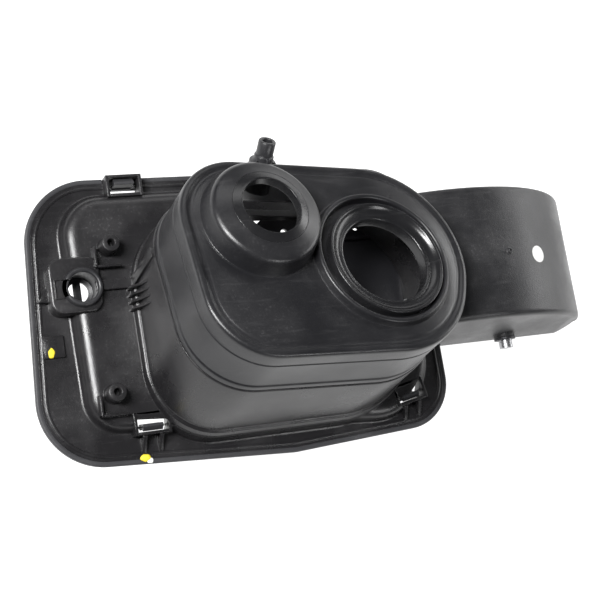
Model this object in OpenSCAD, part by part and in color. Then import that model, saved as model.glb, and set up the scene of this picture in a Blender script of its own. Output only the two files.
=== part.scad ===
/* [Flange] */
// Height of the flange sheet's underside above the rim seal's face
flange_z = 2; // [1.5:0.5:3]
// Thickness of every moulded wall
wall = 2.5; // [2:0.25:3]
// Width of the soft seal's foot under the flange edge
seal_w = 7; // [5:0.5:9]
// Height of the raised pan's top face
pan_z = 14; // [12:0.5:16]
// How far the pan's sloping wall leans in
pan_lean = 6; // [3:0.5:8]

/* [Filler bowl] */
// Height of the filler plate above the rim, at the main opening
plate_z = 85.4; // [80:0.2:90]
// Lean of the filler plate towards +Y
lean_y = 15.5; // [12:0.5:20]
// Lean of the filler plate towards +X
lean_x = 7; // [3:0.5:10]
// Depth of the soft boot below the filler plate
boot_h = 42; // [36:1:46]
// How far the hard collar stands proud of the boot
collar_step = 1.5; // [1:0.25:2.5]

/* [Filler necks] */
// Radius of the main filler opening
main_r = 27; // [24:0.5:29]
// Outer radius of the main neck's ridge
main_ridge_r = 42.5; // [41:0.5:44]
// Height of the main neck's ridge above the plate
main_ridge_h = 5; // [4:0.5:6]
// Radius of the additive filler opening
small_r = 17.3; // [15:0.1:19]
// Radius of the additive neck's rim
small_rim_r = 32.7; // [31:0.5:34]
// Radius of the additive neck where it meets the plate
small_base_r = 36; // [35:0.5:37]

/* [Arm cover] */
// Width of the arm cover, across the hinge pin
cover_w = 85; // [80:1:90]
// Radius of the arm cover's arched roof
roof_r = 113; // [110:1:116]

/* [Hinge] */
// Radius of the hinge pin
pin_r = 3; // [2.5:0.25:3.5]
// Radial running clearance of the bushes on the pin
pin_gap = 0.05; // [0.03:0.01:0.08]
// Radius of the arm's hub
hub_r = 7.5; // [7:0.25:8]
// Mean radius of the arm's goose neck
neck_r = 34; // [33:0.5:35]
// Thickness of the arm
arm_t = 5; // [4:0.5:5.5]
// Width of the arm
arm_w = 40; // [36:1:40]

/* [Lock and clips] */
// Outer radius of the lock socket
lock_r = 11.7; // [11:0.1:13]
// Radius of the lock socket's bore
lock_bore_r = 8.7; // [8:0.1:9]
// Radius of the two bumper bosses
boss_r = 5.3; // [5:0.1:6]
// Height of the two bumper bosses above the pan
boss_h = 12; // [10:1:13]
// Width of each snap clip's frame
clip_w = 22; // [20:1:24]
// Thickness of each snap tongue
tongue_t = 1.6; // [1.4:0.1:2]

/* [Hidden] */
$fn = 96;
eps = 0.05;
arc_step = 5;
black = "#1b1b1d";
soft_black = "#26262a";
centre = [59.8, 5.1];

// Outlines: corner circles [x, y, radius], anticlockwise
flange_outline = [[-89, -38, 40], [25, -44.8, 40], [105, -49.5, 31], [100, 57, 36], [-84, 55, 40]];
pan_outline = [[-80, -38, 22], [82, -32, 41], [98, 60, 24], [-78, 58, 26]];
bowl_outline = [[-79, -14.5, 40], [-2, 0, 57.5], [-1, 6, 59], [-80, 31, 39.5]];
carrier_outline = [[30, -8, 10], [106, -8, 10], [106, 54, 10], [30, 54, 10]];

// Bowl frame
bowl_at = [65.5, 13.2, plate_z];
small_at = [-73, 28.6];
small_rim_h = 12;
small_top_h = 18.5;
main_lip_h = 6;
main_groove_r = 36.5;
edge_step = 2;
window_x = [-56, -8];
window_z = [-57, -42];
drain_r = 2.9;
nipple_base_r = 8;

// Arm cover
cover_y = [-23, 62];
cover_x = 112;
roof_at = [150, -55];
pin_at = [182, 9];
pin_y = [-37, 66];
barrel_r = 7;
barrel_y = -30;

// Hinge arm
arm_y = [3, 3 + arm_w];
hub_y = [0, 56];
plate_z0 = 3.2;
plate_z1 = 8.2;
carrier_t = 2.4;
slot_x = [116, 140];
slot_gap = 2;
rivets = [[124, 13], [124, 33]];

// Lock and bosses
lock_at = [-96, 26.5];
gasket_r = lock_bore_r + 4;
lock_step = 1.2;
bosses = [[-78, 50], [-86, -37.5]];
stem_r = 2.1;
bumper_r = 6;
bumper_h = 6;
stem_h = 9;
pad_z = pan_z + 3;
socket_z = pan_z + 6;

// Clips: [x, y, turn, has ribs]
clips = [[-62, 81, 0, 0], [-65, -49.5, 180, 1], [102.2, -51.3, 191.5, 1]];
clip_h = 12;
clip_d = 13.5;
rib_reach = 10;
clip_side = 2;
tongue_w = 12;
tongue_h = 11;
tongue_y = 7.3;
pivot_r = 0.8;

// Direction of the outer tangent's contact on corner circles a and b
function edge_angle(a, b) =
    atan2(b.y - a.y, b.x - a.x) - acos((a.z - b.z) / norm([b.x - a.x, b.y - a.y]));
function turned(from, to) = from + ((to - from) % 360 + 360) % 360;
function arc(c, from, to) =
    let (steps = ceil((to - from) / arc_step))
    [for (i = [0:steps])
        let (a = from + (to - from) * i / steps)
        [c.x + c.z * cos(a), c.y + c.z * sin(a)]];
function outline_points(c) =
    [for (i = [0:len(c) - 1])
        let (from = edge_angle(c[(i + len(c) - 1) % len(c)], c[i]),
             to = turned(from, edge_angle(c[i], c[(i + 1) % len(c)])))
        each arc(c[i], from, to)];

// Convex outline with round corners; grow moves it outward
module outline(corners, grow = 0) {
    polygon(outline_points([for (c = corners) [c.x, c.y, c.z + grow]]));
}

module slab(corners, z0, z1, grow = 0) {
    translate([0, 0, z0]) linear_extrude(z1 - z0) outline(corners, grow);
}

module part_frame() {
    translate([-centre.x, -centre.y, 0]) children();
}

module bowl_frame() {
    translate(bowl_at) rotate([-lean_y, lean_x, 0]) children();
}

module bowl_slab(z0, z1, grow = 0) {
    bowl_frame() slab(bowl_outline, z0, z1, grow);
}

// Cylinder along Y from y0 to y1, centred on the hinge pin
module along_pin(y0, y1, r) {
    translate([pin_at.x, y0, pin_at.y]) rotate([-90, 0, 0]) cylinder(h = y1 - y0, r = r);
}

module block(x, y, z) {
    translate([x[0], y[0], z[0]]) cube([x[1] - x[0], y[1] - y[0], z[1] - z[0]]);
}

// ---- Pan housing: flange, raised pan, collar and everything moulded on them ----

module pan_shape(grow, z0, z1) {
    hull() {
        slab(pan_outline, z0, z0 + 0.1, grow);
        slab(pan_outline, z1 - 0.1, z1, grow - pan_lean);
    }
}

module bowl_collar() {
    color(black)
    difference() {
        bowl_slab(-130, -boot_h, collar_step);
        bowl_slab(-131, -boot_h + 1, collar_step - wall);
        translate([-200, -200, -100]) cube([500, 500, 100 + flange_z]);
        pan_shape(-wall, flange_z - 1, pan_z - wall);
        bowl_frame() block(window_x, [50, 90], [window_z[0], window_z[1] + 5]);
    }
}

module boss_with_ribs(at) {
    rib_t = 1.5;
    rib_l = 13;
    rib_h = 6;
    translate([at.x, at.y, pan_z - 1]) {
        cylinder(h = boss_h + 1, r = boss_r);
        translate([-9.5, -13, 0]) cube([rib_t, rib_l, rib_h]);
        translate([-9.5, -13, 0]) cube([rib_l + 3, rib_t, rib_h]);
    }
}

module lock_pad() {
    pad = [[-108, 19, 7], [-92, 19, 7], [-92, 38, 7], [-108, 38, 7]];
    slab(pad, flange_z + wall, pad_z);
    block([-88, -56], [24, 30], [pan_z - 1, pad_z]);
}

module gussets() {
    for (i = [0:3])
        translate([-69.5, 11.5 + i * 4.2, pan_z - 1])
            rotate([90, 0, 0])
                linear_extrude(1.4)
                    polygon([[0, 0], [11, 0], [11, 15], [8, 12]]);
}

module clip_frame(has_ribs) {
    translate([-clip_w / 2, 0, flange_z + wall]) cube([clip_w, clip_d, clip_h - wall]);
    if (has_ribs > 0)
        for (x = [-5.5, 4])
            translate([x, clip_d - eps, flange_z + wall])
                rotate([90, 0, 90])
                    linear_extrude(1.8)
                        polygon([[0, 0], [rib_reach, 0], [rib_reach, 1], [0, clip_h - wall - 2]]);
}

module clip_frames() {
    color(black)
    difference() {
        for (c = clips) at_clip(c) clip_frame(c[3]);
        for (c = clips) at_clip(c) clip_pocket();
        pan_shape(0, flange_z, pan_z);
        bowl_slab(-131, -boot_h + 1, collar_step);
    }
}

module at_clip(c) {
    translate([c.x, c.y, 0]) rotate([0, 0, c.z]) children();
}

module arm_slot(z0, z1) {
    block(slot_x, [arm_y[0] - slot_gap, arm_y[1] + slot_gap], [z0, z1]);
}

module pan_hollow() {
    bowl_slab(-131, -boot_h + 1, collar_step);
    translate([lock_at.x, lock_at.y, 0]) cylinder(h = pad_z + 1, r = lock_bore_r + 1);
    translate([lock_at.x, lock_at.y, -1]) cylinder(h = pan_z - wall + 1, r = gasket_r + 0.2);
    for (b = bosses) translate([b.x, b.y, 0]) cylinder(h = 40, r = stem_r);
    arm_slot(-1, pan_z - wall);
    for (c = clips) at_clip(c) clip_pocket();
}

module pan_housing() {
    color(black)
    difference() {
        pan_shape(0, flange_z, pan_z);
        translate([-200, -200, -100]) cube([500, 500, 100 + pan_z - wall]);
        pan_hollow();
    }
}

module pan_skirt() {
    color(black)
    difference() {
        pan_shape(0, flange_z, pan_z);
        translate([-200, -200, pan_z - wall]) cube([500, 500, 100]);
        pan_shape(-wall, flange_z - 1, pan_z - wall + 0.1);
        pan_hollow();
    }
}

module pan_mounts() {
    color(black)
    difference() {
        union() {
            lock_pad();
            for (b = bosses) boss_with_ribs(b);
            gussets();
        }
        pan_shape(0, flange_z, pan_z);
        bowl_slab(-131, -boot_h + 1, collar_step);
        translate([lock_at.x, lock_at.y, 0]) cylinder(h = pad_z + 1, r = lock_bore_r + 1);
        translate([lock_at.x, lock_at.y, -1]) cylinder(h = pan_z - wall + 1, r = gasket_r + 0.2);
        for (b = bosses) translate([b.x, b.y, 0]) cylinder(h = 40, r = stem_r);
    }
}

module flange_sheet() {
    color(black)
    difference() {
        union() {
            slab(flange_outline, flange_z, flange_z + wall, -3);
            translate([-120.5, 21, flange_z]) cube([5.5, 6, 5]);
            translate([-121, -11.5, flange_z]) cube([12, 13, 4.5]);
        }
        pan_shape(0, flange_z, pan_z);
        slab(pan_outline, flange_z - 1, flange_z + 0.1);
        bowl_slab(-131, -boot_h + 1, collar_step);
        translate([lock_at.x, lock_at.y, -1]) cylinder(h = pan_z - wall + 1, r = gasket_r + 0.2);
        arm_slot(-1, pan_z - wall);
        for (c = clips) at_clip(c) clip_pocket();
    }
}

// Open pocket inside a clip's frame, right through the flange sheet
module clip_pocket() {
    inside = clip_w / 2 - clip_side;
    translate([-inside, clip_side, -1]) cube([2 * inside, clip_d - 2 * clip_side, clip_h + 10]);
}

// ---- Soft boot with its two necks ----

module main_neck() {
    rotate_extrude() polygon([
        [main_ridge_r + 2, -wall], [main_ridge_r + 2, 0], [main_ridge_r, main_ridge_h],
        [main_ridge_r - 2.5, main_ridge_h], [main_ridge_r - 3.5, 2.5],
        [main_groove_r, 2.5], [main_groove_r, -wall]]);
}

module small_neck() {
    translate([small_at.x, small_at.y, 0]) rotate_extrude() polygon([
        [small_base_r, -wall], [small_base_r, 0], [small_rim_r + 1, small_rim_h - 1],
        [small_rim_r, small_rim_h], [small_rim_r - 2, small_rim_h], [small_r + 5.5, small_top_h - 2],
        [small_r + 5.5, small_top_h - 2 - wall], [small_rim_r - 3, small_rim_h - wall],
        [small_base_r - wall, -wall]]);
}

module filler_boot() {
    color(soft_black)
    bowl_frame() difference() {
        union() {
            slab(bowl_outline, -boot_h, -edge_step);
            slab(bowl_outline, -edge_step - 1, 0, -edge_step);
            slab(bowl_outline, -boot_h, -boot_h + 5, 0.8);
            at_nipple() translate([0, 0, -14]) cylinder(h = 14, r = nipple_base_r);
        }
        slab(bowl_outline, -boot_h - 1, -wall, -wall);
        translate([0, 0, -20]) cylinder(h = 40, r = main_groove_r + 1);
        translate([small_at.x, small_at.y, -20]) cylinder(h = 40, r = small_base_r - wall);
        at_nipple() translate([0, 0, -26]) cylinder(h = 40, r = drain_r + 0.5);
    }
    color(soft_black) bowl_frame() main_neck();
    color(soft_black) bowl_frame() small_neck();
}

module main_neck_ring() {
    color(black)
    bowl_frame() rotate_extrude() polygon([
        [main_groove_r, -wall], [main_groove_r, main_ridge_h], [main_groove_r - 2, main_ridge_h],
        [main_r + 1.5, 1], [main_r, 0], [main_r, -main_lip_h], [main_r + 2, -main_lip_h],
        [main_r + 2.5, -wall]]);
}

module additive_neck_ring() {
    color(black)
    bowl_frame() translate([small_at.x, small_at.y, 0]) rotate_extrude() polygon([
        [small_r + 5.5, small_top_h - 2 - wall], [small_r + 5.5, small_top_h - 2],
        [small_r + 3, small_top_h], [small_r, small_top_h], [small_r, small_top_h - 6],
        [small_r + 2, small_top_h - 6], [small_r + 2.5, small_top_h - 2 - wall]]);
}

// ---- Arm cover ----

// Space under a roof arc, from x0 to the right and z0 upward
module cover_prism(grow, y0, y1, x0 = cover_x, z0 = 0) {
    translate([0, y1, 0]) rotate([90, 0, 0]) linear_extrude(y1 - y0)
        intersection() {
            translate(roof_at) circle(roof_r + grow);
            translate([x0, z0]) square([200, 100]);
        }
}

module arm_cover() {
    color(black) difference() {
        union() {
            difference() {
                cover_prism(0, cover_y[0], cover_y[1]);
                cover_prism(-wall, cover_y[0] + wall, cover_y[1] - wall, cover_x - 1, -1);
            }
            block([137, 243], [cover_y[0] - 6.5, cover_y[0] + 1], [0, wall]);
            along_pin(barrel_y, cover_y[0] + wall + 1.5, barrel_r);
            along_pin(hub_y[1] + 0.3, cover_y[1] + 1.5, barrel_r);
            translate([167.5, 18.6, 53.4]) rotate([0, 9, 0]) cylinder(h = 5, r = 1.8);
        }
        for (c = [bowl_outline[1], bowl_outline[2]])
            bowl_frame() translate([c.x, c.y, -140])
                cylinder(h = 160, r = c.z + collar_step + eps);
        slab(flange_outline, -1, flange_z + wall + eps, 0.3);
        block([100, 128.2], [-40, 80], [-1, pan_z + eps]);
        along_pin(-60, 90, pin_r);
    }
}

// ---- Rim seal ----

module rim_seal() {
    color(soft_black)
    difference() {
        union() {
            slab(flange_outline, 0, flange_z);
            slab(flange_outline, flange_z - eps, flange_z + wall);
        }
        slab(flange_outline, -1, flange_z, -seal_w);
        slab(flange_outline, flange_z, flange_z + wall + 1, -3 + eps / 5);
        arm_slot(-1, 10);
        at_clip(clips[0]) translate([-clip_w / 2 - eps, 0, flange_z]) cube([clip_w + 2 * eps, 30, 10]);
    }
}

// ---- Lock socket and its gasket ----

module lock_socket() {
    color(black)
    difference() {
        union() {
            translate([lock_at.x, lock_at.y, pad_z]) cylinder(h = socket_z - pad_z, r = lock_r);
            translate([lock_at.x, lock_at.y, pan_z - 6]) cylinder(h = 10, r = lock_bore_r + 0.9);
        }
        translate([lock_at.x, lock_at.y, pan_z - 4]) cylinder(h = 40, r = lock_bore_r);
        difference() {
            translate([lock_at.x, lock_at.y, 0]) cylinder(h = 40, r = lock_bore_r - lock_step);
            translate([lock_at.x - 3, lock_at.y - 20, pan_z - 6]) cube([5.5, 40, 2]);
        }
        translate([lock_at.x - lock_r - 2, lock_at.y - 5, pad_z]) cube([7, 10, 10]);
    }
}

module lock_gasket() {
    color(soft_black)
    translate([lock_at.x, lock_at.y, pan_z - wall - 2]) difference() {
        cylinder(h = 2, r = gasket_r);
        translate([0, 0, -1]) cylinder(h = 4, r = lock_bore_r + 1);
    }
}

// ---- Bumpers pushed into the two bosses ----

module bump_stops() {
    color(soft_black)
    for (b = bosses) translate([b.x, b.y, 0]) {
        translate([0, 0, pan_z - wall - bumper_h]) cylinder(h = bumper_h, r = bumper_r);
        translate([0, 0, pan_z - wall - 1]) cylinder(h = stem_h, r = stem_r - eps);
    }
}

// ---- Drain nipple ----

module at_nipple() {
    translate([-57, 69, -7]) rotate([-28, 0, 0]) children();
}

module nipple_frame() {
    bowl_frame() at_nipple() children();
}

module drain_nipple() {
    color(black)
    difference() {
        union() {
            nipple_frame() translate([0, 0, 3]) cylinder(h = 2, r = nipple_base_r);
            nipple_frame() translate([0, 0, 3]) cylinder(h = 6, r = 5.8);
            nipple_frame() translate([0, 0, 3]) cylinder(h = 15, r = 5.1);
            nipple_frame() translate([-0.8, -7, 3]) cube([1.6, 5, 6]);
        }
        nipple_frame() translate([0, 0, -10]) cylinder(h = 40, r = drain_r);
        bowl_slab(-60, 0, eps);
    }
}

module nipple_gasket() {
    color(soft_black)
    difference() {
        nipple_frame() cylinder(h = 3, r = nipple_base_r);
        nipple_frame() translate([0, 0, -10]) cylinder(h = 40, r = drain_r + 0.5);
        bowl_slab(-60, 0, eps);
    }
}

// ---- Hinge ----

module hinge_pin() {
    color("silver")
    difference() {
        union() {
            along_pin(barrel_y - 2, pin_y[1], pin_r);
            along_pin(pin_y[0], barrel_y - 1.5, 4.4);
        }
        difference() {
            along_pin(63.8, 65, pin_r + 1);
            along_pin(63.8, 65, 2.4);
        }
    }
}

module pin_washer() {
    color("dimgray")
    difference() {
        along_pin(barrel_y - 1.5, barrel_y, 7);
        along_pin(barrel_y - 2, barrel_y + 1, pin_r);
    }
}

module pin_clip() {
    color("dimgray")
    difference() {
        along_pin(63.9, 64.9, 5.5);
        along_pin(63, 66, 2.4);
        translate([pin_at.x - 1.5, 60, pin_at.y]) cube([3, 10, 10]);
    }
}

// Coil of round wire about the hinge pin
coil_turns = 6;
coil_r = 4.9;
wire_r = 0.6;
coil_y = [-18.5, -1.2];
coil_steps = 12;
wire_sides = 8;
function coil_point(s) =
    let (t = s / coil_steps, a = 360 * t)
    [pin_at.x + coil_r * cos(a), coil_y[0] + (coil_y[1] - coil_y[0]) * t / coil_turns, pin_at.y + coil_r * sin(a)];
function wire_point(s, k) =
    let (t = s / coil_steps, a = 360 * t, b = 360 * k / wire_sides, p = coil_point(s))
    [p.x + wire_r * cos(b) * cos(a), p.y + wire_r * sin(b), p.z + wire_r * cos(b) * sin(a)];

module hinge_spring() {
    last = coil_turns * coil_steps;
    points = [for (s = [0:last], k = [0:wire_sides - 1]) wire_point(s, k)];
    sides = [for (s = [0:last - 1], k = [0:wire_sides - 1])
        let (k2 = (k + 1) % wire_sides, a = s * wire_sides, b = a + wire_sides)
        [a + k, b + k, b + k2, a + k2]];
    ends = [[for (k = [0:wire_sides - 1]) k],
            [for (k = [wire_sides - 1:-1:0]) last * wire_sides + k]];
    color("gray") polyhedron(points, concat(sides, ends));
}

module hinge_arm() {
    color(black)
    difference() {
        union() {
            along_pin(hub_y[0], hub_y[1], hub_r);
            translate([pin_at.x, arm_y[1], pin_at.y]) rotate([90, 0, 0]) linear_extrude(arm_w) arm_profile();
            block([116, 151], arm_y, [plate_z0, plate_z1]);
        }
        along_pin(-50, 90, pin_r + 1.8);
        for (r = rivets) translate([r.x, r.y, -1]) cylinder(h = 20, r = 2);
    }
}

// Spoke from the hub, then the arc over to the closed side
module arm_profile() {
    difference() {
        circle(neck_r + arm_t / 2);
        circle(neck_r - arm_t / 2);
        translate([-100, -102]) square([200, 100]);
        polygon([[0, 0], [90, 90 * tan(50)], [90, -10], [0, -10]]);
    }
    rotate(52) translate([0, -arm_t / 2]) square([neck_r, arm_t]);
}

module hinge_bushes() {
    color("ivory")
    for (y = [[hub_y[0], 12], [hub_y[1] - 12, hub_y[1]]])
        difference() {
            along_pin(y[0], y[1], pin_r + 1.8);
            along_pin(y[0] - 1, y[1] + 1, pin_r + pin_gap);
        }
}

module flap_carrier() {
    color("darkslategray")
    difference() {
        union() {
            slab(carrier_outline, plate_z0 - carrier_t, plate_z0);
            block([106, 136], [arm_y[0] + 2, arm_y[1] - 2], [plate_z0 - carrier_t, plate_z0]);
            for (y = [0, 46]) block([34, 104], [y - 1, y + 1], [plate_z0 - 0.5, plate_z1]);
        }
        for (r = rivets) translate([r.x, r.y, -1]) cylinder(h = 20, r = 2);
        for (x = [40, 90], y = [-8, 54]) translate([x, y, -1]) cylinder(h = 20, r = 2.2);
    }
}

module carrier_rivets() {
    color("silver")
    for (r = rivets) translate([r.x, r.y, plate_z0 - carrier_t]) {
        cylinder(h = plate_z1 - plate_z0 + carrier_t + 0.5, r = 2);
        translate([0, 0, plate_z1 - plate_z0 + carrier_t]) cylinder(h = 1.4, r = 3.8);
    }
}

// ---- Snap tongues ----

module tongue(c) {
    color(black)
    at_clip(c) difference() {
        union() {
            translate([-tongue_w / 2, tongue_y, flange_z + 1]) cube([tongue_w, tongue_t, tongue_h]);
            translate([-tongue_w / 2, tongue_y + tongue_t / 2, flange_z + 2])
                rotate([0, 90, 0]) cylinder(h = tongue_w, r = 1.8);
            translate([-tongue_w / 2, tongue_y + tongue_t - eps, flange_z + 5.5])
                rotate([90, 0, 90]) linear_extrude(tongue_w) polygon([[0, 0], [2.4, 4], [0, 6.5]]);
        }
        translate([-20, tongue_y + tongue_t / 2, flange_z + 2])
            rotate([0, 90, 0]) cylinder(h = 40, r = pivot_r + eps);
    }
}

module tongue_pins() {
    pin_l = clip_w - 2 * clip_side;
    color("silver")
    for (c = clips)
        at_clip(c) translate([-pin_l / 2, tongue_y + tongue_t / 2, flange_z + 2])
            rotate([0, 90, 0]) cylinder(h = pin_l, r = pivot_r);
}

// ---- Sticker on the arm cover ----

module inspection_sticker() {
    color("white")
    intersection() {
        difference() {
            cover_prism(0.25, cover_y[0], cover_y[1]);
            cover_prism(0.02, cover_y[0], cover_y[1]);
        }
        translate([193.6, 16.5, 10]) cylinder(h = 100, r = 5.5);
    }
}

part_frame() pan_housing();
part_frame() pan_skirt();
part_frame() pan_mounts();
part_frame() flange_sheet();
part_frame() bowl_collar();
part_frame() clip_frames();
part_frame() filler_boot();
part_frame() main_neck_ring();
part_frame() additive_neck_ring();
part_frame() arm_cover();
part_frame() rim_seal();
part_frame() lock_socket();
part_frame() lock_gasket();
part_frame() bump_stops();
part_frame() drain_nipple();
part_frame() nipple_gasket();
part_frame() hinge_pin();
part_frame() pin_washer();
part_frame() pin_clip();
part_frame() hinge_spring();
part_frame() hinge_arm();
part_frame() hinge_bushes();
part_frame() flap_carrier();
part_frame() carrier_rivets();
part_frame() tongue(clips[0]);  // tongue_upper
part_frame() tongue(clips[1]);  // tongue_lower
part_frame() tongue(clips[2]);  // tongue_corner
part_frame() tongue_pins();
part_frame() inspection_sticker();
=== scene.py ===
import math

import bmesh
import bpy
from mathutils import Euler, Matrix, Vector


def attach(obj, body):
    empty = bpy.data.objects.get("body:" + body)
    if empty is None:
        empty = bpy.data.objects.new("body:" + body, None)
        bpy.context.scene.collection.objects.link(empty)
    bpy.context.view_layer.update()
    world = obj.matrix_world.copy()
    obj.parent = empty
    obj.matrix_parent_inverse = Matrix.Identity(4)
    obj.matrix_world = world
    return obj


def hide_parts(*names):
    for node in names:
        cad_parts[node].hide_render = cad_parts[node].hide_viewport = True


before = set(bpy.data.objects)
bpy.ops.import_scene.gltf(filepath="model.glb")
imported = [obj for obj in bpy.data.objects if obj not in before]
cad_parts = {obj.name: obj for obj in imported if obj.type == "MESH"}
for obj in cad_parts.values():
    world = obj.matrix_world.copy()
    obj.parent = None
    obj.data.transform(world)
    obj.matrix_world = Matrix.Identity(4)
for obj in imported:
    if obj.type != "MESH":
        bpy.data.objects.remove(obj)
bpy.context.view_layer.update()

# ---- Sizes, in millimetres, in the flange's own frame ----

CENTRE = (59.8, 5.1)
WALL = 2.5
FLANGE = [(-89, -38, 40), (25, -44.8, 40), (105, -49.5, 31), (100, 57, 36), (-84, 55, 40)]
PAN = [(-80, -38, 22), (82, -32, 41), (98, 60, 24), (-78, 58, 26)]
BOWL = [(-79, -14.5, 40), (-2, 0, 57.5), (-1, 6, 59), (-80, 31, 39.5)]
PAD = [(-108, 19, 7), (-92, 19, 7), (-92, 38, 7), (-108, 38, 7)]
LOCK = (-96, 26.5)
BOSSES = [(-78, 50), (-86, -37.5)]
CLIPS = [(-62, 81, 0, False), (-65, -49.5, 180, True), (102.2, -51.3, 191.5, True)]
PIN = (182, 9)
ROOF = (150, -55, 113)
COVER_Y = (-23, 62)
SMALL_NECK = (-73, 28.6)

FLAT = Matrix.Identity(4)
BOWL_FRAME = (
    Matrix.Translation((65.5, 13.2, 85.4))
    @ Matrix.Rotation(math.radians(7), 4, "Y")
    @ Matrix.Rotation(math.radians(-15.5), 4, "X")
)
NIPPLE_FRAME = BOWL_FRAME @ Matrix.Translation((-57, 69, -7)) @ Matrix.Rotation(math.radians(-28), 4, "X")
PIN_FRAME = Matrix.Translation((PIN[0], 0, PIN[1])) @ Matrix.Rotation(math.radians(-90), 4, "X")


# ---- Outlines ----


def circle(middle, r, steps):
    """Points round a circle, anticlockwise."""
    turns = [2 * math.pi * k / steps for k in range(steps)]
    return [(middle[0] + r * math.cos(a), middle[1] + r * math.sin(a)) for a in turns]


def edge_angle(a, b):
    """Direction of the outer tangent's contact on the corner circles a and b."""
    across = math.hypot(b[0] - a[0], b[1] - a[1])
    return math.atan2(b[1] - a[1], b[0] - a[0]) - math.acos((a[2] - b[2]) / across)


def outline(corners, grow=0.0, steps=24):
    """Convex outline with round corners, anticlockwise, moved outward by grow."""
    points = []
    for i, c in enumerate(corners):
        start = edge_angle(corners[i - 1], c)
        turn = (edge_angle(c, corners[(i + 1) % len(corners)]) - start) % (2 * math.pi)
        for k in range(steps + 1):
            a = start + turn * k / steps
            points.append((c[0] + (c[2] + grow) * math.cos(a), c[1] + (c[2] + grow) * math.sin(a)))
    return points


def reach(points, middle, angle):
    """Distance from middle to a convex outline, in one direction."""
    dx, dy = math.cos(angle), math.sin(angle)
    for i, a in enumerate(points):
        b = points[(i + 1) % len(points)]
        ax, ay = a[0] - middle[0], a[1] - middle[1]
        bx, by = b[0] - middle[0], b[1] - middle[1]
        side_a, side_b = dx * ay - dy * ax, dx * by - dy * bx
        if side_a <= 0 < side_b:
            t = side_a / (side_a - side_b)
            return (ax + (bx - ax) * t) * dx + (ay + (by - ay) * t) * dy
    return 0.0


def bend(a, b, c, steps=5):
    """Points on a smooth corner from a to c, with its tip at b."""
    out = []
    for k in range(steps + 1):
        t = k / steps
        out.append(tuple((1 - t) ** 2 * p + 2 * t * (1 - t) * q + t * t * r for p, q, r in zip(a, b, c)))
    return out


# ---- Building pieces ----


class Skin:
    """The vertices and faces of one piece."""

    def __init__(self, where=FLAT):
        self.bm = bmesh.new()
        self.where = where

    def ring(self, points):
        out = []
        for p in points:
            p = self.where @ Vector(p)
            out.append(self.bm.verts.new(((p.x - CENTRE[0]) / 1000, (p.y - CENTRE[1]) / 1000, p.z / 1000)))
        return out

    def band(self, a, b, closed=True):
        last = len(a) if closed else len(a) - 1
        for i in range(last):
            j = (i + 1) % len(a)
            self.bm.faces.new((a[i], a[j], b[j], b[i]))

    def loft(self, rings, closed=True, tube=False, ends=False):
        made = [self.ring(r) for r in rings]
        for a, b in zip(made, made[1:]):
            self.band(a, b, closed)
        if tube:
            self.band(made[-1], made[0], closed)
        if ends:
            self.bm.faces.new(list(reversed(made[0])))
            self.bm.faces.new(made[-1])
        return made

    def spin(self, profile, middle=(0, 0), steps=96, tube=True):
        """Turns a closed profile of (radius, height) about an upright axis."""
        rings = []
        for r, z in profile:
            rings.append([(x, y, z) for x, y in circle(middle, r, steps)])
        return self.loft(rings, tube=tube)

    def prism(self, points, z0, z1, axis="Z"):
        def put(p, h):
            return {"Z": (p[0], p[1], h), "Y": (p[0], h, p[1]), "X": (h, p[0], p[1])}[axis]

        self.loft([[put(p, z0) for p in points], [put(p, z1) for p in points]], ends=True)
        return self

    def block(self, x, y, z):
        return self.prism([(x[0], y[0]), (x[1], y[0]), (x[1], y[1]), (x[0], y[1])], z[0], z[1])

    def made(self, name, round_off=0.0, segments=2, thick=0.0, tidy=True):
        if tidy:
            bmesh.ops.recalc_face_normals(self.bm, faces=self.bm.faces)
        mesh = bpy.data.meshes.new(name)
        self.bm.to_mesh(mesh)
        self.bm.free()
        obj = bpy.data.objects.new(name, mesh)
        bpy.context.scene.collection.objects.link(obj)
        if thick:
            shell = obj.modifiers.new("wall", "SOLIDIFY")
            shell.thickness = thick / 1000
            shell.offset = -1
            shell.use_even_offset = True
        if round_off:
            soften(obj, round_off, segments)
        return obj


def soften(obj, width, segments=2, angle=40):
    bevel = obj.modifiers.new("edges", "BEVEL")
    bevel.width = width / 1000
    bevel.segments = segments
    bevel.limit_method = "ANGLE"
    bevel.angle_limit = math.radians(angle)
    bevel.use_clamp_overlap = True
    return obj


def cut(obj, *tools):
    for tool in tools:
        knife = obj.modifiers.new("cut", "BOOLEAN")
        knife.operation = "DIFFERENCE"
        knife.solver = "EXACT"
        knife.object = tool
    return obj


def settled(obj):
    """The mesh with its modifiers applied."""
    bpy.context.view_layer.update()
    return bpy.data.meshes.new_from_object(obj.evaluated_get(bpy.context.evaluated_depsgraph_get()))


def joined(name, parts, sharp=35):
    """One object from several, with smooth shading up to the sharp angle."""
    bm = bmesh.new()
    for part in parts:
        mesh = settled(part)
        bm.from_mesh(mesh)
        bpy.data.meshes.remove(mesh)
    bmesh.ops.remove_doubles(bm, verts=bm.verts, dist=1e-6)
    loose = [v for v in bm.verts if not v.link_faces]
    bmesh.ops.delete(bm, geom=loose, context="VERTS")
    mesh = bpy.data.meshes.new(name)
    bm.to_mesh(mesh)
    bm.free()
    for part in parts:
        bpy.data.objects.remove(part, do_unlink=True)
    mesh.shade_smooth()
    mesh.set_sharp_from_angle(angle=math.radians(sharp))
    obj = bpy.data.objects.new(name, mesh)
    bpy.context.scene.collection.objects.link(obj)
    return obj


def fitted(obj, body, slot_name, material, *nodes):
    """Puts a finished piece on its body, with its material, in place of CAD nodes."""
    obj.data.materials.clear()
    obj.data.materials.append(material)
    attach(obj, body)
    if nodes:
        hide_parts(*nodes)
    return obj


# ---- Finishes ----


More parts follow.
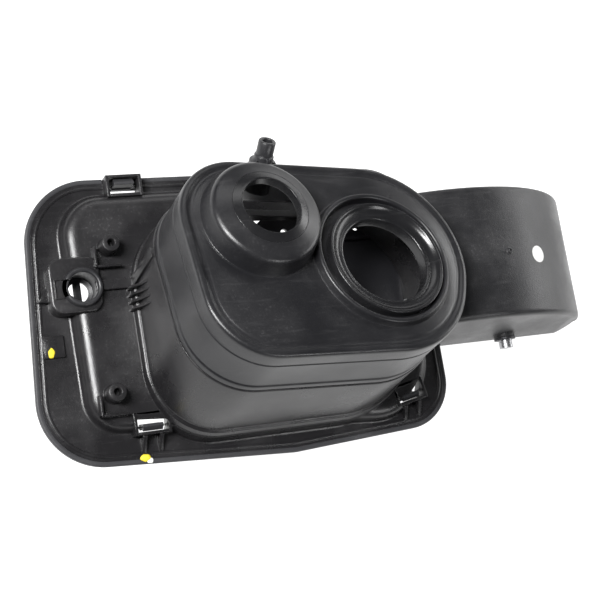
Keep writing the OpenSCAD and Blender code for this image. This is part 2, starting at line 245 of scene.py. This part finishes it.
def add(tree, kind, place=(0, 0), **settings):
    node = tree.nodes.new(kind)
    node.location = place
    for key, value in settings.items():
        if hasattr(node, key):
            setattr(node, key, value)
        else:
            node.inputs[key.replace("_", " ")].default_value = value
    return node


def above(tree, source, low, high):
    """Mask that rises from 0 to 1 as source goes from low to high."""
    node = tree.nodes.new("ShaderNodeMapRange")
    node.inputs["From Min"].default_value = low
    node.inputs["From Max"].default_value = high
    tree.links.new(source, node.inputs["Value"])
    return node.outputs[0]


def bump(tree, distance, strength, height, normal):
    """Normal of a surface raised by height."""
    node = tree.nodes.new("ShaderNodeBump")
    node.inputs["Distance"].default_value = distance
    for name, source in (("Strength", strength), ("Height", height), ("Normal", normal)):
        tree.links.new(source, node.inputs[name])
    return node.outputs["Normal"]


def moulded_surface():
    """Grain, slow waviness, dust and rubbed streaks for a moulded face."""
    group = bpy.data.node_groups.new("moulded_surface", "ShaderNodeTree")
    face = group.interface
    for name, kind, value in (
        ("Colour", "NodeSocketColor", (0.02, 0.02, 0.022, 1)),
        ("Gloss loss", "NodeSocketFloat", 0.4),
        ("Dust", "NodeSocketFloat", 0.3),
        ("Streaks", "NodeSocketFloat", 0.3),
        ("Grain", "NodeSocketFloat", 0.3),
        ("Waves", "NodeSocketFloat", 0.2),
        ("Edge round", "NodeSocketVector", (0, 0, 0)),
    ):
        socket = face.new_socket(name, in_out="INPUT", socket_type=kind)
        if name != "Edge round":
            socket.default_value = value
    for name, kind in (("Colour", "Color"), ("Roughness", "Float"), ("Normal", "Vector")):
        face.new_socket(name, in_out="OUTPUT", socket_type="NodeSocket" + kind)
    tree = group
    link = tree.links.new
    inside = tree.nodes.new("NodeGroupInput")
    outside = tree.nodes.new("NodeGroupOutput")
    where = tree.nodes.new("ShaderNodeTexCoord")

    clouds = add(tree, "ShaderNodeTexNoise", Scale=22.0, Detail=5.0, Roughness=0.6)
    specks = add(tree, "ShaderNodeTexNoise", Scale=620.0, Detail=3.0, Roughness=0.7)
    grain = add(tree, "ShaderNodeTexNoise", Scale=1500.0, Detail=2.0, Roughness=0.6)
    waves = add(tree, "ShaderNodeTexNoise", Scale=34.0, Detail=1.0, Roughness=0.4)
    stretch = add(tree, "ShaderNodeMapping", Rotation=(0.2, 0.1, 0.7), Scale=(35.0, 420.0, 120.0))
    streaks = add(tree, "ShaderNodeTexNoise", Scale=1.0, Detail=4.0, Roughness=0.65)
    for texture in (clouds, specks, grain, waves):
        link(where.outputs["Object"], texture.inputs["Vector"])
    link(where.outputs["Object"], stretch.inputs["Vector"])
    link(stretch.outputs["Vector"], streaks.inputs["Vector"])

    patches = above(tree, clouds.outputs["Fac"], 0.42, 0.66)
    points = above(tree, specks.outputs["Fac"], 0.56, 0.74)
    rubs = above(tree, streaks.outputs["Fac"], 0.56, 0.76)

    def combined(operation, a, b):
        node = tree.nodes.new("ShaderNodeMath")
        node.operation = operation
        node.use_clamp = True
        link(a, node.inputs[0])
        if isinstance(b, float):
            node.inputs[1].default_value = b
        else:
            link(b, node.inputs[1])
        return node.outputs[0]

    def times(a, b):
        return combined("MULTIPLY", a, b)

    def plus(a, b):
        return combined("ADD", a, b)

    film = plus(times(patches, points), times(patches, 0.28))
    dusty = times(film, inside.outputs["Dust"])
    rubbed = times(rubs, inside.outputs["Streaks"])
    marks = plus(dusty, times(rubbed, 0.55))

    tint = tree.nodes.new("ShaderNodeMix")
    tint.data_type = "RGBA"
    link(times(marks, 0.16), tint.inputs[0])
    link(inside.outputs["Colour"], tint.inputs[6])
    tint.inputs[7].default_value = (0.42, 0.41, 0.42, 1)
    link(tint.outputs[2], outside.inputs["Colour"])

    rough = plus(inside.outputs["Gloss loss"], times(marks, 0.3))
    link(plus(rough, times(patches, 0.07)), outside.inputs["Roughness"])

    slow = bump(tree, 0.004, inside.outputs["Waves"], waves.outputs["Fac"], inside.outputs["Edge round"])
    fine = bump(tree, 0.00035, inside.outputs["Grain"], grain.outputs["Fac"], slow)
    link(fine, outside.inputs["Normal"])
    return group


SURFACE = moulded_surface()


def finish(name, colour, rough, metal=0.0, coat=0.0, round_off=0.5, **surface):
    """One material on the shared surface, its edges rounded by round_off millimetres."""
    material = bpy.data.materials.new(name)
    material.use_nodes = True
    tree = material.node_tree
    tree.nodes.clear()
    link = tree.links.new
    out = add(tree, "ShaderNodeOutputMaterial", (600, 0))
    skin = add(tree, "ShaderNodeBsdfPrincipled", (300, 0), Metallic=metal)
    skin.inputs["Coat Weight"].default_value = coat
    skin.inputs["Coat Roughness"].default_value = 0.2
    group = tree.nodes.new("ShaderNodeGroup")
    group.node_tree = SURFACE
    group.inputs["Colour"].default_value = (*colour, 1)
    group.inputs["Gloss loss"].default_value = rough
    for setting, usual in (("Dust", 0.3), ("Streaks", 0.3), ("Grain", 0.3), ("Waves", 0.15)):
        group.inputs[setting].default_value = surface.get(setting.lower(), usual)
    edges = tree.nodes.new("ShaderNodeBevel")
    edges.samples = 4
    edges.inputs["Radius"].default_value = round_off / 1000
    link(edges.outputs["Normal"], group.inputs["Edge round"])
    for result, socket in (("Colour", "Base Color"), ("Roughness", "Roughness"), ("Normal", "Normal")):
        link(group.outputs[result], skin.inputs[socket])
    link(skin.outputs["BSDF"], out.inputs["Surface"])
    return material


moulded_black = finish("moulded_black", (0.012, 0.0115, 0.0125), 0.25, dust=0.5, streaks=0.15, grain=0.25)
cover_black = finish("cover_black", (0.016, 0.016, 0.0175), 0.33, dust=0.9, streaks=0.4, grain=0.45)
boot_black = finish("boot_black", (0.011, 0.011, 0.0125), 0.28, dust=0.35, streaks=0.3, grain=0.2)
ring_black = finish("ring_black", (0.01, 0.01, 0.011), 0.22, dust=0.2, streaks=0.2, grain=0.1)
seal_rubber = finish("seal_rubber", (0.03, 0.03, 0.033), 0.48, dust=0.5, streaks=0.4, grain=0.3)
stop_rubber = finish("stop_rubber", (0.02, 0.02, 0.021), 0.6, dust=0.5, grain=0.4)
fitting_black = finish("fitting_black", (0.02, 0.02, 0.022), 0.32, dust=0.4, grain=0.2)
tongue_black = finish("tongue_black", (0.03, 0.03, 0.033), 0.36)
arm_black = finish("arm_black", (0.024, 0.024, 0.026), 0.42, dust=0.4, grain=0.4, round_off=0.8)
carrier_black = finish("carrier_black", (0.02, 0.02, 0.023), 0.35, coat=0.3, round_off=0.6, grain=0.25)
pin_steel = finish("pin_steel", (0.42, 0.42, 0.43), 0.3, metal=1.0, round_off=0.3, streaks=0.6)
WORN = {"dust": 0.4, "streaks": 0.5}
washer_steel = finish("washer_steel", (0.05, 0.05, 0.054), 0.4, metal=0.6, round_off=0.3, **WORN)
CLEAN = {"dust": 0.2, "streaks": 0.4}
spring_steel = finish("spring_steel", (0.33, 0.33, 0.34), 0.28, metal=1.0, round_off=0.1, **CLEAN)
bush_acetal = finish("bush_acetal", (0.62, 0.6, 0.55), 0.4, round_off=0.2, dust=0.4, grain=0.2)
sticker_white = finish("sticker_white", (0.86, 0.86, 0.84), 0.55, round_off=0.1, streaks=0.4, grain=0.5)
PAINT = {"round_off": 0.4, "grain": 0.9, "waves": 0.6}
paint_yellow = finish("paint_yellow", (0.78, 0.62, 0.03), 0.45, dust=0.4, streaks=0.6, **PAINT)
paint_white = finish("paint_white", (0.85, 0.86, 0.82), 0.45, **PAINT)


# ---- Soft boot with its two necks ----


def bowl_rings(profile, steps=24):
    return [[(x, y, z) for x, y in outline(BOWL, grow, steps)] for grow, z in profile]


def soft_boot():
    edge = bend((0, -3.4), (0, 0), (-3.2, 0), 7)
    profile = [(0.1, -42), (0.8, -41.7), (0.8, -38.4), (0.6, -37.7), (0.15, -37.2), (0, -36.6)]
    profile += [(0, -13.2), (-0.35, -12.8), (-0.45, -12.2), (-0.35, -11.6), (0, -11.2)]
    profile += edge + [(-3.9, -0.05), (-4.6, -0.5), (-5.2, -0.75), (-6.8, -0.75), (-7.5, -0.4), (-8.2, 0)]
    wall = Skin(BOWL_FRAME)
    loops = wall.loft(bowl_rings(profile))
    holes = []
    for middle, r in (((0, 0), 40), (SMALL_NECK, 33)):
        holes.append(wall.ring([(x, y, 0) for x, y in circle(middle, r, 96)]))
    rim = [loops[-1]] + holes
    edges = []
    for loop in rim:
        for i, v in enumerate(loop):
            w = loop[(i + 1) % len(loop)]
            edge = wall.bm.edges.get((v, w)) or wall.bm.edges.new((v, w))
            edges.append(edge)
    filled = bmesh.ops.triangle_fill(wall.bm, edges=edges, use_beauty=True, use_dissolve=False)
    up = BOWL_FRAME.to_3x3() @ Vector((0, 0, 1))
    for face in filled["geom"]:
        if isinstance(face, bmesh.types.BMFace):
            face.normal_update()
            if face.normal.dot(up) < 0:
                face.normal_flip()
    shell = wall.made("boot_wall", thick=WALL - 0.1, tidy=False)

    bead = [(45.0, -1.2), (44.6, -0.1), (43.8, 0.15), (43.3, 0.9), (42.9, 2.6)]
    bead += bend((42.8, 3.4), (42.5, 4.95), (41.2, 4.95), 5)[1:]
    bead += bend((40.9, 4.95), (39.9, 4.9), (39.6, 3.4), 5)
    bead += [(39.3, 1.0), (38.8, -0.6), (34, -0.9), (34, -1.2)]
    neck = Skin(BOWL_FRAME)
    neck.spin(bead, (-2.2, 0.4), 144)
    cone = [(33.4, -1.2), (36.6, -1.2), (36.3, -0.05), (35.5, 0.25), (34.9, 1.2)]
    cone += bend((33.3, 9.2), (32.9, 12.7), (29.4, 13.6), 8)
    cone += [(23.0, 16.35), (22.8, 16.3), (22.8, 14), (29.4, 11.2), (31.3, 9.4), (32.6, 1)]
    small = Skin(BOWL_FRAME)
    small.spin(cone, SMALL_NECK, 144)
    seat = Skin(NIPPLE_FRAME)
    seat.spin([(3.4, -14), (8, -14), (8, -0.6), (7.6, -0.05), (3.4, -0.05)], steps=48)
    parts = [shell, neck.made("boot_neck"), small.made("boot_cone"), seat.made("boot_seat")]
    return fitted(joined("soft_boot", parts), "housing", "boot_black", boot_black, "filler_boot")


def neck_rings():
    big = [(29.5, -2.5), (36.4, -2.5), (36.4, 4.2)]
    big += bend((36.4, 4.4), (36.2, 5.0), (35.6, 5.0), 4)[1:] + bend((35.4, 5.0), (34.5, 4.8), (34.0, 4.0), 4)
    big += bend((33.2, 3.0), (31.4, 1.6), (29.6, 1.5), 5) + [(29.0, 1.7)]
    big += bend((28.6, 2.0), (27.1, 2.0), (27, 0.9), 5) + [(27, -6), (28.8, -6), (29.1, -5.2)]
    ring = Skin(BOWL_FRAME)
    ring.spin(big, steps=144)
    piece = joined("main_filler_ring", [ring.made("big")], 40)
    fitted(piece, "housing", "ring_black", ring_black, "main_neck_ring")
    little = [(19.6, 14), (22.75, 14), (22.75, 16.35), (20.4, 17.35), (18.6, 18.05)]
    little += bend((18.4, 18.15), (17.3, 18.6), (17.3, 17.7), 6)[1:] + [(17.3, 12.5), (19, 12.5)]
    ring = Skin(BOWL_FRAME)
    ring.spin(little, SMALL_NECK, 144)
    piece = joined("additive_filler_ring", [ring.made("little")], 40)
    fitted(piece, "housing", "ring_black", ring_black, "additive_neck_ring")


# ---- Pan, flange and collar, moulded in one ----


def bowl_prism(grow, z0, z1, where=BOWL_FRAME):
    """A cutting body in the shape of the bowl."""
    body = Skin(where)
    body.prism(outline(BOWL, grow, 20), z0, z1)
    return body.made("bowl_cutter")


def on_plane(grow, z):
    """The bowl's outline where it passes through a level."""
    points = []
    axis = BOWL_FRAME.to_3x3() @ Vector((0, 0, 1))
    for x, y in outline(BOWL, grow, 20):
        p = BOWL_FRAME @ Vector((x, y, 0))
        p += axis * ((z - p.z) / axis.z)
        points.append((p.x, p.y))
    return points


def pan_skin():
    middle = (14, 2)
    turns = [2 * math.pi * k / 400 for k in range(400)]

    def polar(points):
        return [reach(points, middle, a) for a in turns]

    def ring(radii, z):
        return [(middle[0] + r * math.cos(a), middle[1] + r * math.sin(a), z) for r, a in zip(radii, turns)]

    rings = []
    edge = polar(outline(PAN, 1.4))
    lip = [(-3, 2.3), (-3, 4.5), (-4.6, 4.5), (-5.0, 4.9), (-5.4, 5.1), (-6.2, 5.1), (-6.6, 4.9), (-7.0, 4.5)]
    for k, (grow, z) in enumerate(lip):
        gap = 0.2 * (len(lip) - k)
        rings.append(ring([max(a, b + gap) for a, b in zip(polar(outline(FLANGE, grow)), edge)], z))
    slope = [(1.4, 4.5), (0.4, 4.65), (-0.2, 5.2), (-0.6, 6.0)] + bend((-1.0, 7.2), (-2.6, 14), (-10, 14), 9)
    for grow, z in slope:
        foot = polar(on_plane(3.4 if z > 5 else 4.2, z))
        rings.append(ring([max(a, b + 0.02) for a, b in zip(polar(outline(PAN, grow)), foot)], z))
    collar_foot = [(4.2, 14), (3.7, 14.15), (3.4, 14.7), (3.4, 18.0), (3.2, 18.6), (2.7, 18.9)]
    for grow, z in collar_foot + [(1.9, 19.0), (1.55, 19.4), (1.5, 20.2)]:
        rings.append(ring(polar(on_plane(grow, z)), z))

    back = BOWL_FRAME.inverted()
    hub = (-38, 10)
    around = []
    for p in rings[-1]:
        q = back @ Vector(p)
        around.append(math.atan2(q.y - hub[1], q.x - hub[0]))
    for grow, z in [(1.5, -43.2), (1.35, -42.5), (1.0, -42.15), (0.2, -42.1), (-0.9, -42.1), (-0.9, -43.2)]:
        shape = outline(BOWL, grow)
        points = []
        for a in around:
            r = reach(shape, hub, a)
            points.append(BOWL_FRAME @ Vector((hub[0] + r * math.cos(a), hub[1] + r * math.sin(a), z)))
        rings.append(points)
    inner_foot = polar(on_plane(-0.9, 20.2))
    rings.append(ring(inner_foot, 20.2))
    inside = [(-13.5, 11.6), (-11.5, 11.6)] + bend((-10, 11.6), (-5.4, 11.6), (-4.0, 7.0), 5)
    inside += [(-3.2, 4.5), (-2.4, 3.0), (-1.6, 2.3), (-0.9, 2.1)]
    rings.append(ring(polar(on_plane(-0.9, 11.6)), 11.6))
    for grow, z in inside:
        foot = polar(on_plane(-0.9, z))
        rings.append(ring([max(a, b + 0.05) for a, b in zip(polar(outline(PAN, grow)), foot)], z))
    rim = ring([max(a, b + 1.6) for a, b in zip(polar(outline(FLANGE, -3)), edge)], 2.1)
    rings.append(rim)
    skin = Skin()
    skin.loft(rings, tube=True)
    return skin.made("pan_skin")


def holes_in_pan():
    tools = Skin()
    tools.block((116, 140), (1, 45), (-1, 11.5))
    for x, y, turn, _ in CLIPS:
        tools.where = Matrix.Translation((x, y, 0)) @ Matrix.Rotation(math.radians(turn), 4, "Z")
        tools.block((-9, 9), (2, 11.5), (-1, 13.6))
    tools.where = BOWL_FRAME
    tools.block((-56, -8), (50, 90), (-57, -37))
    return tools.made("pan_cutters")


def lock_hole():
    tool = Skin()
    tool.spin([(0.01, -2), (9.7, -2), (9.7, 30), (0.01, 30)], LOCK, 72)
    return tool.made("lock_cutter")


def pan_details():
    """Everything that stands on the pan and the flange."""
    parts = []

    pad = Skin()
    pad_rings = [(0, 4.4), (0, 15.8), (-0.15, 16.5), (-0.6, 16.9), (-1.2, 17)]
    rings = [[(x, y, z) for x, y in outline(PAD, g, 10)] for g, z in pad_rings]
    pad.loft(rings, ends=True)
    recess = Skin()
    recess.spin([(0.01, -2), (12.9, -2), (12.9, 11.5), (0.01, 11.5)], LOCK, 72)
    strip = Skin()
    strip.block((-88, -54), (24, 30), (13, 17))
    strip = strip.made("strip", 0.5, 3)
    parts.append(strip)
    pad = pad.made("pad")
    parts.append(pad)

    notch = Skin()
    notch.block((-112.6, -111.8), (20.6, 32.4), (16.8, 17.9))
    for y in (20.6, 31.6):
        notch.block((-112.6, -107.2), (y, y + 0.8), (16.8, 17.9))
    parts.append(notch.made("notch", 0.25, 2))

    for bx, by in BOSSES:
        tower = Skin()
        side = [(2.1, 8), (5.9, 8), (5.9, 14.2), (5.5, 14.7), (5.3, 15.6), (5.3, 25.3)]
        top = [(5.0, 25.8), (4.4, 26), (2.6, 26), (2.2, 25.7), (2.1, 25.2)]
        tower.spin(side + top, (bx, by), 48)
        parts.append(tower.made("tower"))
        ribs = Skin(Matrix.Translation((bx, by, 13)))
        ribs.block((-9.5, -8), (-13, 0), (0, 6.6))
        ribs.block((-9.5, 6.5), (-13, -11.5), (0, 6.6))
        parts.append(ribs.made("ribs", 0.35, 2))

    fins = Skin()
    fin = [(-69.5, 13.5), (-54, 13.5), (-54, 38), (-61.5, 38), (-63.2, 35), (-65.2, 28)]
    fin += [(-67.5, 25.5), (-69.5, 20)]
    for i in range(4):
        y = 11.5 + i * 4.2
        fins.prism(fin, y - 1.4, y, "Y")
    fins = fins.made("fins", 0.25)
    parts.append(fins)

    climb = Skin(BOWL_FRAME)
    climb.block((-122.6, -115), (33.4, 39.6), (-79, -42.4))
    climb = climb.made("climb", 0.4, 2)
    parts.append(climb)

    for x, y, turn, ribbed in CLIPS:
        where = Matrix.Translation((x, y, 0)) @ Matrix.Rotation(math.radians(turn), 4, "Z")
        frame_skin = Skin(where)
        for xs in ((-11, -9.1), (9.1, 11)):
            frame_skin.block(xs, (0, 13.5), (4.4, 14))
        for ys in ((11.7, 13.5), (0, 1.9)):
            frame_skin.block((-9.3, 9.3), ys, (4.4, 14))
        if ribbed:
            rib = [(13.2, 4.3), (23.4, 4.3), (23.4, 5.6), (21.5, 6.4), (14.5, 12), (13.2, 12)]
            for x0 in (-6.4, 3.8):
                frame_skin.prism(rib, x0, x0 + 2.4, "X")
        parts.append(frame_skin.made("clip", 0.35, 2))
    cutter = bowl_prism(1.2, -130, -20)
    for part in (strip, fins, climb):
        cut(part, cutter)
    lock_cut = lock_hole()
    recess = recess.made("recess_cutter")
    cut(pad, lock_cut, recess)

    tab = Skin()
    tab.prism([(-121.5, 21.5), (-114, 20.5), (-114, 31)], 4.4, 8.8)
    tab.block((-121, -109), (-11.5, 1.5), (4.4, 6.5))
    parts.append(tab.made("tabs", 0.4, 2))
    return parts, [cutter, lock_cut, recess]


def pan_housing():
    skin = pan_skin()
    parts, tools = pan_details()
    knives = [holes_in_pan(), lock_hole()]
    cut(skin, *knives)
    piece = joined("pan_moulding", [skin] + parts)
    for tool in tools + knives:
        bpy.data.objects.remove(tool, do_unlink=True)
    nodes = ("pan_housing", "pan_skirt", "pan_mounts", "flange_sheet", "bowl_collar", "clip_frames")
    return fitted(piece, "housing", "moulded_black", moulded_black, *nodes)


def rim_lip():
    profile = [(-7, 0.1), (-6.6, 0), (-0.8, 0), (-0.2, 0.25), (0, 0.8), (0, 3.3)]
    profile += bend((0, 3.4), (0, 4.5), (-1.1, 4.5), 5)[1:]
    profile += [(-2.6, 4.5), (-2.95, 4.3), (-3.0, 3.9), (-3.05, 2.1), (-7, 2.0)]
    lip = Skin()
    lip.loft([[(x, y, z) for x, y in outline(FLANGE, g, 40)] for g, z in profile], tube=True)
    lip = lip.made("lip")
    tool = Skin()
    tool.block((116, 140), (1, 45), (-1, 10))
    tool.block((-73.1, -50.9), (80.9, 97), (2.05, 10))
    tool = tool.made("lip_cutter")
    cut(lip, tool)
    piece = joined("rim_lip", [lip])
    bpy.data.objects.remove(tool, do_unlink=True)
    return fitted(piece, "housing", "seal_rubber", seal_rubber, "rim_seal")


# ---- Arm cover ----


def roof_curve(inset, steps=48):
    """The roof's section from the bowl side to its foot, drawn in by inset."""
    x0, z0, r = ROOF
    r -= inset
    start = math.acos((112 - x0) / r)
    stop = math.asin(-z0 / r)
    turns = [start + (stop - start) * k / steps for k in range(steps + 1)]
    return [(x0 + r * math.cos(a), z0 + r * math.sin(a)) for a in turns]


def arm_cover():
    near, far = 4.2, 3.0
    shell = Skin()
    strips = []
    for k in range(7):
        t = math.pi / 2 * k / 6
        strips.append((near * (1 - math.sin(t)), COVER_Y[0] + near * (1 - math.cos(t))))
    for k in range(7):
        t = math.pi / 2 * (1 - k / 6)
        strips.append((far * (1 - math.sin(t)), COVER_Y[1] - far * (1 - math.cos(t))))
    rings = [[(x, y, z) for x, z in roof_curve(inset)] for inset, y in strips]
    floor_near = [(x, COVER_Y[0] - 6.5 * min(1.0, z / 22), 0) for x, z in roof_curve(near)]
    floor_far = [(x, COVER_Y[1], 0) for x, _ in roof_curve(far)]
    made = [shell.ring(r) for r in [floor_near] + rings + [floor_far]]
    for a, b in zip(made, made[1:]):
        for i in range(len(a) - 1):
            corners = []
            for v in (a[i], a[i + 1], b[i + 1], b[i]):
                if all((v.co - w.co).length > 1e-7 for w in corners):
                    corners.append(v)
            if len(corners) > 2:
                shell.bm.faces.new(corners)
    for face in shell.bm.faces:
        face.normal_update()
        if face.normal.dot(face.calc_center_median() - Vector((0.09, 0.0145, -0.06))) < 0:
            face.normal_flip()
    shell = shell.made("cover_shell", thick=WALL - 0.1, tidy=False)
    barrels = Skin(PIN_FRAME)
    barrels.spin([(3.05, -30), (6.6, -30), (7, -29.6), (7, -19), (3.05, -19)], steps=48)
    barrels.spin([(3.05, 56.4), (6.6, 56.4), (7, 56.8), (7, 63.5), (3.05, 63.5)], steps=48)
    nub = Skin(Matrix.Translation((167.5, 18.6, 53.4)) @ Matrix.Rotation(math.radians(9), 4, "Y"))
    nub_side = [(0.5, 1), (3.1, 1), (3.1, 2.9), (2.3, 3.3), (1.8, 3.8), (1.7, 4.7)]
    nub.spin(nub_side + [(1.4, 5.0), (0.9, 4.9), (0.5, 4.2)], steps=32)
    tools = [bowl_prism(1.6, -140, 20)]
    box_tool = Skin()
    box_tool.block((90, 128.2), (-40, 80), (-2, 14.1))
    tools.append(box_tool.made("box_cutter"))
    flange_tool = Skin()
    flange_tool.prism(outline(FLANGE, 0.3, 20), -1, 4.6)
    tools.append(flange_tool.made("flange_cutter"))
    under = Skin()
    under.block((90, 280), (-60, 100), (-12, 0))
    tools.append(under.made("under_cutter"))
    parts = [shell, barrels.made("cover_barrels"), nub.made("cover_nub")]
    cut(shell, *tools)
    piece = joined("arm_cover_shell", parts)
    for tool in tools:
        bpy.data.objects.remove(tool, do_unlink=True)
    return fitted(piece, "housing", "cover_black", cover_black, "arm_cover")


# ---- Lock socket and drain nipple ----


def lock_socket():
    ring = Skin()
    ring.spin(
        [(8.7, 10), (9.6, 10), (9.6, 16.9), (12.2, 16.9), (11.8, 17.4), (11.6, 18.6)]
        + bend((11.5, 19.0), (11.3, 20), (10.3, 20), 4)
        + bend((9.9, 20), (8.8, 19.9), (8.7, 18.6), 5),
        LOCK,
        72,
    )
    ring = ring.made("lock_ring")
    notch = Skin()
    notch.block((-110, -102.7), (21.5, 31.5), (17, 22))
    notch = notch.made("notch_cutter")
    cut(ring, notch)
    foot = Skin()
    foot.spin([(6.3, 0.6), (9.6, 0.6), (9.6, 10.0), (8.7, 10.0), (8.6, 3.2), (6.3, 2.6)], LOCK, 72)
    bar = Skin()
    bar.block((-98.8, -94.2), (18.6, 34.4), (0.6, 2.8))
    piece = joined("lock_ring", [ring, foot.made("lock_foot"), bar.made("lock_bar", 0.3)])
    bpy.data.objects.remove(notch, do_unlink=True)
    return fitted(piece, "housing", "fitting_black", fitting_black, "lock_socket")


def drain_nipple():
    tube = Skin(NIPPLE_FRAME)
    flange = [(2.9, 3.05), (7.8, 3.05), (8, 3.4), (8, 4.5), (7.6, 5), (6.2, 5.2)]
    barrel = [(5.8, 5.7), (5.8, 8.6), (5.5, 9), (5.1, 9.3)]
    spout = [(5.1, 17.4), (4.8, 17.9), (4.3, 18), (3.2, 18), (2.9, 17.6)]
    tube.spin(flange + barrel + spout, steps=64)
    rib = Skin(NIPPLE_FRAME)
    rib.block((-0.8, 0.8), (-7, -4), (4, 9))
    tool = bowl_prism(0.1, -60, 0)
    parts = [tube.made("nipple_tube"), rib.made("nipple_rib", 0.3)]
    for part in parts:
        cut(part, tool)
    piece = joined("drain_tube", parts)
    bpy.data.objects.remove(tool, do_unlink=True)
    return fitted(piece, "housing", "fitting_black", fitting_black, "drain_nipple")


soft_boot()
neck_rings()
pan_housing()
rim_lip()
arm_cover()
lock_socket()
drain_nipple()


# ---- CAD pieces that keep their own shape ----

for nodes, slot_name, material in (
    (("lock_gasket", "bump_stops", "nipple_gasket"), "stop_rubber", stop_rubber),
    (("tongue_upper", "tongue_lower", "tongue_corner"), "tongue_black", tongue_black),
    (("hinge_pin", "carrier_rivets", "tongue_pins"), "pin_steel", pin_steel),
    (("pin_washer", "pin_clip"), "washer_steel", washer_steel),
    (("hinge_spring",), "spring_steel", spring_steel),
    (("hinge_arm",), "arm_black", arm_black),
    (("flap_carrier",), "carrier_black", carrier_black),
    (("hinge_bushes",), "bush_acetal", bush_acetal),
    (("inspection_sticker",), "sticker_white", sticker_white),
):
    for node in nodes:
        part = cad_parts[node]
        part.data.materials.clear()
        part.data.materials.append(material)
        part.data.shade_smooth()
        part.data.set_sharp_from_angle(angle=math.radians(30))


# ---- Marks ----


def blob(name, middle, size, height, material, seed=0.0):
    """A dab of paint: a flat drop with an uneven edge."""
    drop = Skin()
    rings = []
    for part, lift in ((1.0, 0.0), (0.97, 0.45), (0.8, 0.85), (0.45, 1.0)):
        ring = []
        for k in range(28):
            a = 2 * math.pi * k / 28
            wobble = 1 + 0.1 * math.sin(2 * a + seed) + 0.06 * math.sin(5 * a + 2 * seed)
            x = middle[0] + size[0] * part * wobble * math.cos(a)
            y = middle[1] + size[1] * part * wobble * math.sin(a)
            ring.append((x, y, middle[2] + height * lift))
        rings.append(ring)
    drop.loft(rings, ends=True)
    return fitted(joined(name, [drop.made(name)], 60), "housing", "sticker_white", material)


blob("paint_dab_side", (-117, -8.6, 6.4), (1.9, 3.1), 0.4, paint_yellow, 0.4)
blob("paint_dab_lower", (-69.8, -75.6, 4.4), (3.0, 2.6), 1.0, paint_yellow, 1.9)
blob("paint_dab_lower_edge", (-67.6, -77.2, 4.4), (2.2, 2.0), 0.8, paint_white, 3.1)


# ---- Studio ----


def studio():
    floor = bpy.data.materials.new("studio_floor")
    floor.use_nodes = True
    tree = floor.node_tree
    skin = tree.nodes["Principled BSDF"]
    paper = add(tree, "ShaderNodeTexNoise", (-600, 0), Scale=6.0, Detail=3.0)
    shade = tree.nodes.new("ShaderNodeValToRGB")
    shade.color_ramp.elements[0].color = (0.3, 0.3, 0.3, 1)
    shade.color_ramp.elements[1].color = (0.34, 0.34, 0.34, 1)
    tree.links.new(paper.outputs["Fac"], shade.inputs["Fac"])
    tree.links.new(shade.outputs["Color"], skin.inputs["Base Color"])
    skin.inputs["Roughness"].default_value = 0.9
    skin.inputs["Emission Color"].default_value = (1, 1, 1, 1)
    skin.inputs["Emission Strength"].default_value = 0.97
    ground = Skin()
    ground.block((-3000, 3000), (-3000, 3000), (-190, -170))
    ground = ground.made("studio_floor")
    ground.data.materials.append(floor)

    world = bpy.data.worlds.new("studio")
    bpy.context.scene.world = world
    world.use_nodes = True
    world.node_tree.nodes["Background"].inputs["Color"].default_value = (0.96, 0.98, 1, 1)
    world.node_tree.nodes["Background"].inputs["Strength"].default_value = 0.06

    def lamp(name, place, aim, size, power, colour=(1, 1, 1)):
        light = bpy.data.lights.new(name, "AREA")
        light.shape = "RECTANGLE"
        light.size, light.size_y = size
        light.energy = power
        light.color = colour
        obj = bpy.data.objects.new(name, light)
        bpy.context.scene.collection.objects.link(obj)
        obj.location = place
        obj.rotation_euler = (Vector(aim) - Vector(place)).to_track_quat("-Z", "Y").to_euler()

    lamp("left_softbox", (-0.95, 0.22, 1.2), (-0.1, 0, 0), (0.3, 0.7), 40)
    lamp("right_softbox", (1.35, 0.3, 0.4), (0, 0, 0), (1.3, 0.4), 9)
    lamp("front_softbox", (0.52, -1.0, 0.85), (0, 0, 0), (0.5, 0.2), 4)
    lamp("back_softbox", (0.1, 1.2, 0.8), (0, 0, 0), (1.0, 0.4), 3)

    lens = bpy.data.cameras.new("camera")
    lens.lens = 75
    lens.sensor_width = 36
    camera = bpy.data.objects.new("camera", lens)
    bpy.context.scene.collection.objects.link(camera)
    camera.location = (-0.31590, -0.12404, 0.72304)
    camera.rotation_euler = Euler([math.radians(a) for a in (12.98084, -20.79294, -9.80483)], "XYZ")
    bpy.context.scene.camera = camera
    bpy.context.scene.view_settings.view_transform = "Standard"


studio()
